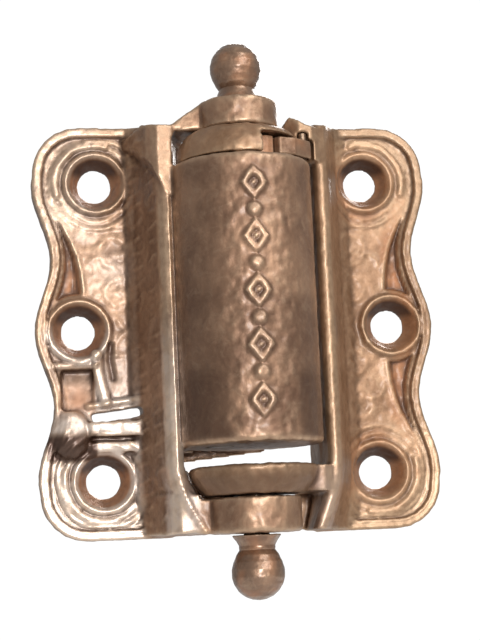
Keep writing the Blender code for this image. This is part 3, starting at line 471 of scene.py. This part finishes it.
def cast_relief(points, normals, side):
    """Offsets in mm along a casting's normals, its worn crests with painted highlights, and its paint masks
    (0 to 1): rust, worn-through finish with painted glare, and painted shade with random dark patches.
    """
    s = Spots(points, normals, side)
    ornament, ornament_rust = leaf_ornament(s.out, s.level, side)
    offsets = ornament * s.on_face + riser_dabs(s) + casting_skin(s)
    offsets -= LOZENGE_DEPTH * lozenge_lines(s.turn, s.z) * s.on_barrel
    crest_rub_and_sheen = rub_and_sheen_masks(s)
    paint = {"rust": rust_stain(s, ornament_rust), "bare_and_glare": bare_metal_and_glare(s, crest_rub_and_sheen), "shade_and_grime": shade_and_grime(s)}
    return offsets, crest_rub_and_sheen, paint


def age(obj, edge_scale, rub_and_sheen=0.0):
    """Store where a piece is worn bright, taking the worn crests and painted highlights passed in, and the
    painted shade in its hollows.
    """
    fine = local_heights(obj.data, FINE_PASSES) / edge_scale
    broad = local_heights(obj.data, BROAD_PASSES) / edge_scale
    worn = (fine - 0.018 / edge_scale) * 3.6 + broad * 1.62
    # Painted shade in the hollows, deeper hollows darker.
    hollow_shade = -(fine + 0.015 / edge_scale) * 4.2 - broad * 2.31
    store(obj, "wear_and_sheen", np.clip(np.maximum(worn, 0.85 * rub_and_sheen), 0.0, 1.0))
    store(obj, "shade_in_hollows", np.clip(hollow_shade, 0.0, 1.0))


# ---------------------------------------------------------------- materials

def tone(red, green, blue):
    """Linear colour of an 8-bit display colour."""
    levels = [channel / 255 for channel in (red, green, blue)]
    linear = [v / 12.92 if v <= 0.04045 else ((v + 0.055) / 1.055) ** 2.4 for v in levels]
    return (*linear, 1.0)


class Shader:
    """Builds one material's node tree."""

    def __init__(self, name):
        self.material = bpy.data.materials.new(name)
        self.material.use_nodes = True
        self.tree = self.material.node_tree
        self.surface = self.tree.nodes["Principled BSDF"]
        self.coordinates = self.tree.nodes.new("ShaderNodeTexCoord").outputs["Object"]

    def feed(self, socket, value):
        if isinstance(value, bpy.types.NodeSocket):
            self.tree.links.new(value, socket)
        else:
            socket.default_value = value

    def noise(self, feature_mm, detail=4.0, roughness=0.55, distortion=0.0):
        node = self.tree.nodes.new("ShaderNodeTexNoise")
        self.feed(node.inputs["Vector"], self.coordinates)
        node.inputs["Scale"].default_value = 1.0 / (feature_mm * MM)
        node.inputs["Detail"].default_value = detail
        node.inputs["Roughness"].default_value = roughness
        node.inputs["Distortion"].default_value = distortion
        return node.outputs["Fac"]

    def pits(self, feature_mm):
        node = self.tree.nodes.new("ShaderNodeTexVoronoi")
        self.feed(node.inputs["Vector"], self.coordinates)
        node.inputs["Scale"].default_value = 1.0 / (feature_mm * MM)
        return node.outputs["Distance"]

    def painted(self, name):
        node = self.tree.nodes.new("ShaderNodeAttribute")
        node.attribute_name = name
        return node.outputs["Fac"]

    def spread(self, value, low, high, to_low=0.0, to_high=1.0):
        node = self.tree.nodes.new("ShaderNodeMapRange")
        self.feed(node.inputs["Value"], value)
        limits = {"From Min": low, "From Max": high, "To Min": to_low, "To Max": to_high}
        for socket, number in limits.items():
            node.inputs[socket].default_value = number
        return node.outputs["Result"]

    def math(self, operation, first, second):
        node = self.tree.nodes.new("ShaderNodeMath")
        node.operation = operation
        self.feed(node.inputs[0], first)
        self.feed(node.inputs[1], second)
        return node.outputs[0]

    def mix(self, factor, first, second):
        node = self.tree.nodes.new("ShaderNodeMix")
        node.data_type = "RGBA"
        self.feed(node.inputs["Factor"], factor)
        self.feed(node.inputs["A"], first)
        self.feed(node.inputs["B"], second)
        return node.outputs["Result"]

    def bump(self, heights):
        """Chain of bumps from (height, depth in mm)."""
        normal = None
        for height, depth_mm in heights:
            node = self.tree.nodes.new("ShaderNodeBump")
            node.inputs["Distance"].default_value = depth_mm * MM
            self.feed(node.inputs["Height"], height)
            if normal is not None:
                self.feed(node.inputs["Normal"], normal)
            normal = node.outputs["Normal"]
        self.feed(self.surface.inputs["Normal"], normal)

    def finish(self, colour, roughness, metallic):
        self.feed(self.surface.inputs["Base Color"], colour)
        self.feed(self.surface.inputs["Roughness"], roughness)
        self.feed(self.surface.inputs["Metallic"], metallic)
        return self.material


def cast_iron(name, dark, mid, light, bare_and_glare, base_roughness, varnish):
    """Old bronzed cast iron: mottled brown, worn on its edges and rusty in its hollows, with painted shade in
    its hollows and recesses, painted highlights on its ridges and a painted glare.
    """
    s = Shader(name)
    patches = s.spread(s.noise(7.5, 5.0, 0.6, 0.6), 0.34, 0.66)
    grain = s.noise(1.1, 6.0, 0.6)
    specks = s.spread(s.noise(2.2, 5.0, 0.68, 0.9), 0.50, 0.74)
    wear_and_sheen = s.painted("wear_and_sheen")
    shade_in_hollows = s.painted("shade_in_hollows")
    rusty = s.painted("rust")
    bright = s.painted("bare_and_glare")
    broken_wear_and_sheen = s.math("MULTIPLY", wear_and_sheen, s.spread(grain, 0.34, 0.58, 0.45, 1.0))
    colour = s.mix(patches, dark, mid)
    colour = s.mix(s.math("MULTIPLY", specks, 0.22), colour, light)
    rust_amount = s.math("MULTIPLY", rusty, s.spread(s.noise(2.4, 4.0, 0.6), 0.32, 0.58, 0.45, 1.0))
    colour = s.mix(rust_amount, colour, RUST)
    # Pale where the finish is worn through, and a painted glare over the door leaf's lower half.
    bare_and_glare_amount = s.math("MULTIPLY", bright, s.spread(s.noise(3.0, 5.0, 0.65, 0.5), 0.36, 0.52, 0.55, 1.0))
    colour = s.mix(s.math("MULTIPLY", bare_and_glare_amount, 0.85), colour, bare_and_glare)
    # Lighter on worn edges, with painted highlights on the ridges and painted light over the door leaf's
    # field.
    colour = s.mix(s.math("MULTIPLY", broken_wear_and_sheen, 0.58), colour, light)
    # Painted shade from the shade masks, with random dark patches.
    colour = s.mix(s.math("MULTIPLY", s.painted("shade_and_grime"), 0.50), colour, SHADE_AND_GRIME_BROWN)
    # Painted shade in the hollows.
    colour = s.mix(s.math("MULTIPLY", shade_in_hollows, 0.85), colour, SHADE_AND_GRIME_BROWN)
    rough = s.spread(grain, 0.3, 0.7, base_roughness - 0.07, base_roughness + 0.10)
    rough = s.math("SUBTRACT", rough, s.math("MULTIPLY", broken_wear_and_sheen, 0.12))
    rough = s.math("SUBTRACT", rough, s.math("MULTIPLY", bare_and_glare_amount, 0.07))
    rough = s.math("ADD", rough, s.math("MULTIPLY", rust_amount, 0.16))
    metal = s.math("SUBTRACT", s.spread(patches, 0.0, 1.0, 0.62, 0.74), s.math("MULTIPLY", rust_amount, 0.5))
    metal = s.math("SUBTRACT", metal, s.math("MULTIPLY", bare_and_glare_amount, 0.12))
    s.bump(((grain, 0.06), (s.pits(1.3), 0.03), (s.noise(0.4, 4.0, 0.6), 0.015)))
    s.surface.inputs["Coat Weight"].default_value = varnish
    s.surface.inputs["Coat Roughness"].default_value = VARNISH_ROUGHNESS
    return s.finish(colour, rough, metal)


def drawn_steel(name, dark, light, base_roughness):
    """Plain machined steel with a thin brown film."""
    s = Shader(name)
    film = s.spread(s.noise(1.6, 5.0, 0.65, 0.5), 0.35, 0.65)
    grain = s.noise(0.35, 5.0, 0.6)
    colour = s.mix(film, dark, light)
    rough = s.spread(grain, 0.3, 0.7, base_roughness - 0.06, base_roughness + 0.10)
    s.bump(((grain, 0.02),))
    return s.finish(colour, rough, s.spread(film, 0.0, 1.0, 0.75, 0.95))


VARNISH_ROUGHNESS = 0.24
RUST = tone(184, 116, 66)
# Dark brown for painted shade and random dark patches.
SHADE_AND_GRIME_BROWN = tone(64, 40, 28)
jamb_iron = cast_iron("jamb_iron", dark=tone(126, 94, 68), mid=tone(164, 130, 102), light=tone(210, 182, 150),
                      bare_and_glare=tone(190, 168, 158), base_roughness=0.50, varnish=0.25)
# The door leaf's pale tone is near white for its painted glare.
door_iron = cast_iron("door_iron", dark=tone(118, 88, 68), mid=tone(164, 130, 104), light=tone(212, 184, 154),
                      bare_and_glare=tone(214, 200, 190), base_roughness=0.47, varnish=0.30)
ball_iron = cast_iron("ball_iron", dark=tone(100, 76, 60), mid=tone(150, 118, 94), light=tone(216, 188, 158),
                      bare_and_glare=tone(190, 168, 158), base_roughness=0.38, varnish=0.80)
spring_steel = drawn_steel("spring_steel", tone(96, 84, 76), tone(148, 136, 126), 0.34)
pin_steel = drawn_steel("pin_steel", tone(112, 88, 70), tone(168, 146, 126), 0.32)


# ---------------------------------------------------------------- pieces

def small_relief(points):
    return 0.045 * lattice_noise(points, 1.3, 11) + 0.025 * lattice_noise(points, 0.6, 12)


for node, body, side, material in (
        ("jamb_leaf", "jamb", JAMB, jamb_iron),
        ("door_leaf", "door", DOOR, door_iron)):
    casting = fine_copy(node, node + "_casting", CASTING_VOXEL, EDGE_PASSES)
    round_turned(casting, LEAF_STEPS, BARREL_RADIUS + 0.5)
    places = read_vertices(casting.data, "co") / MM
    relief, crest_rub_and_sheen, paint = cast_relief(places, read_vertices(casting.data, "normal"), side)
    displace(casting, relief)
    age(casting, JAMB_EDGE_SCALE if side == JAMB else DOOR_EDGE_SCALE, crest_rub_and_sheen)
    for paint_name, values in paint.items():
        store(casting, paint_name, values)
    casting.data.materials.append(material)
    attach(casting, body)
    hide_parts(node)

for node, body, material, slot in (
        ("upper_pintle", "door", ball_iron, "ball_iron"),
        ("lower_pintle", "door", ball_iron, "ball_iron"),
        ("tension_ratchet", "ratchet", door_iron, "door_iron"),
        ("ratchet_pawl", "pawl", door_iron, "door_iron")):
    piece = fine_copy(node, node + "_cast", SMALL_VOXEL, EDGE_PASSES)
    if slot == "ball_iron":
        round_turned(piece, PINTLE_STEPS, BARREL_RADIUS)
    places = read_vertices(piece.data, "co") / MM
    relief = small_relief(places)
    if slot == "ball_iron":
        relief += 0.5 * ridge(np.abs(places[:, 2]) - NECK_Z, 1.2)
    displace(piece, relief)
    age(piece, SMALL_EDGE_SCALE)
    store(piece, "rust", 0.35 * rise(lattice_noise(places, 2.6, 13) + 0.2))
    store(piece, "bare_and_glare", np.zeros(len(places)))
    store(piece, "shade_and_grime", 0.3 * rise(lattice_noise(places, 3.0, 14)))
    piece.data.materials.append(material)
    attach(piece, body)
    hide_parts(node)


def half_spring(name, upper):
    """One half of the coil, parted square across the wire at its middle turn."""
    obj = bpy.data.objects.new(name, NODES["torsion_spring"].data.copy())
    bpy.context.scene.collection.objects.link(obj)
    low, high = SPRING_ENDS
    pitch = (high - low) / SPRING_TURNS
    bm = bmesh.new()
    bm.from_mesh(obj.data)
    bmesh.ops.remove_doubles(bm, verts=bm.verts, dist=WELD)
    others = []
    for face in bm.faces:
        middle = face.calc_center_median() / MM
        part_turn = math.atan2(middle.y, middle.x) / (2 * math.pi) % 1.0
        turns = part_turn + round((middle.z - low) / pitch - part_turn)
        if (turns > SPRING_TURNS / 2) != upper:
            others.append(face)
    bmesh.ops.delete(bm, geom=others, context="FACES")
    bmesh.ops.holes_fill(bm, edges=[edge for edge in bm.edges if edge.is_boundary], sides=0)
    bm.to_mesh(obj.data)
    bm.free()
    obj.data.materials.clear()
    obj.data.materials.append(spring_steel)
    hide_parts("torsion_spring")
    return obj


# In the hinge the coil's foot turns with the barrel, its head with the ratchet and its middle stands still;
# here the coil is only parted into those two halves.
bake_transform(half_spring("spring_lower_half", False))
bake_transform(half_spring("spring_upper_half", True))

for node, material in (
        ("spring_arbor", pin_steel), ("arbor_cross_pin", pin_steel),
        ("spring_anchor_plug", pin_steel), ("anchor_plug_rivet", pin_steel), ("pawl_pivot_pin", pin_steel),
        ("upper_pintle_peg", pin_steel), ("lower_pintle_peg", pin_steel)):
    NODES[node].data.materials.clear()
    NODES[node].data.materials.append(material)


# ---------------------------------------------------------------- floor and light

FLOOR_HALF = 0.20
FLOOR_DROP = 0.06  # the hinge hangs clear of the floor


def make_floor():
    mesh = bpy.data.meshes.new("floor")
    half, level = FLOOR_HALF, cad_low[2] - FLOOR_DROP
    corners = [(-half, -half, level), (half, -half, level), (half, half, level), (-half, half, level)]
    mesh.from_pydata(corners, [], [(0, 1, 2, 3)])
    floor = bpy.data.objects.new("floor", mesh)
    bpy.context.scene.collection.objects.link(floor)
    s = Shader("floor_paint")
    mottle = s.noise(60.0)
    s.finish(s.mix(mottle, (0.88, 0.88, 0.87, 1.0), (0.93, 0.93, 0.92, 1.0)), 0.9, 0.0)
    mesh.materials.append(s.material)


def area_light(name, place, aim, size, power, colour):
    data = bpy.data.lights.new(name, "AREA")
    data.shape = "DISK"
    data.size = size
    data.energy = power
    data.color = colour
    light = bpy.data.objects.new(name, data)
    light.location = place
    light.rotation_mode = "QUATERNION"
    light.rotation_quaternion = (Vector(aim) - Vector(place)).to_track_quat("-Z", "Y")
    bpy.context.scene.collection.objects.link(light)


def make_world(camera_strength, room_strength):
    """White all round; the room lights the object less than it shows."""
    world = bpy.data.worlds.new("studio")
    bpy.context.scene.world = world
    world.use_nodes = True
    tree = world.node_tree
    background = tree.nodes["Background"]
    background.inputs["Color"].default_value = (1.0, 1.0, 1.0, 1.0)
    path = tree.nodes.new("ShaderNodeLightPath")
    mix = tree.nodes.new("ShaderNodeMapRange")
    mix.inputs["To Min"].default_value = room_strength
    mix.inputs["To Max"].default_value = camera_strength
    tree.links.new(path.outputs["Is Camera Ray"], mix.inputs["Value"])
    tree.links.new(mix.outputs["Result"], background.inputs["Strength"])


make_floor()
make_world(camera_strength=1.05, room_strength=0.36)
area_light("key", place=(0.30, -0.50, 0.38), aim=(0.0, 0.0, 0.0), size=0.45, power=2.6,
           colour=(1.0, 0.97, 0.93))
area_light("front", place=(0.03, -0.70, 0.04), aim=(-0.02, 0.0, -0.02), size=0.15, power=3.0,
           colour=(1.0, 0.97, 0.94))
area_light("back", place=(0.25, 0.65, 0.35), aim=(0.0, 0.0, 0.0), size=0.40, power=3.0,
           colour=(1.0, 0.98, 0.96))

# ---------------------------------------------------------------- camera

AXIS_TILT = math.radians(2.6)
CAMERA_AZIMUTH = math.radians(-10.2)
CAMERA_ELEVATION = math.radians(-8.3)
CAMERA_DISTANCE = 0.28
FIELD_OF_VIEW = math.radians(22.6)
AIM = Vector((-0.0012, 0.0, -0.0008))

back = Vector((math.sin(CAMERA_AZIMUTH) * math.cos(CAMERA_ELEVATION),
               -math.cos(CAMERA_AZIMUTH) * math.cos(CAMERA_ELEVATION),
               math.sin(CAMERA_ELEVATION)))
camera_data = bpy.data.cameras.new("camera")
camera_data.sensor_fit = "VERTICAL"
camera_data.sensor_height = 36.0
camera_data.lens = camera_data.sensor_height / 2 / math.tan(FIELD_OF_VIEW / 2)
camera_data.dof.use_dof = False
camera_data.clip_start = 0.01
camera = bpy.data.objects.new("camera", camera_data)
bpy.context.scene.collection.objects.link(camera)
bpy.context.scene.camera = camera
camera.location = AIM + back * CAMERA_DISTANCE
camera.rotation_mode = "QUATERNION"
camera.rotation_quaternion = (-back).to_track_quat("-Z", "Y") @ Quaternion((0.0, 0.0, 1.0), -AXIS_TILT)
bpy.context.scene.view_settings.view_transform = "Standard"
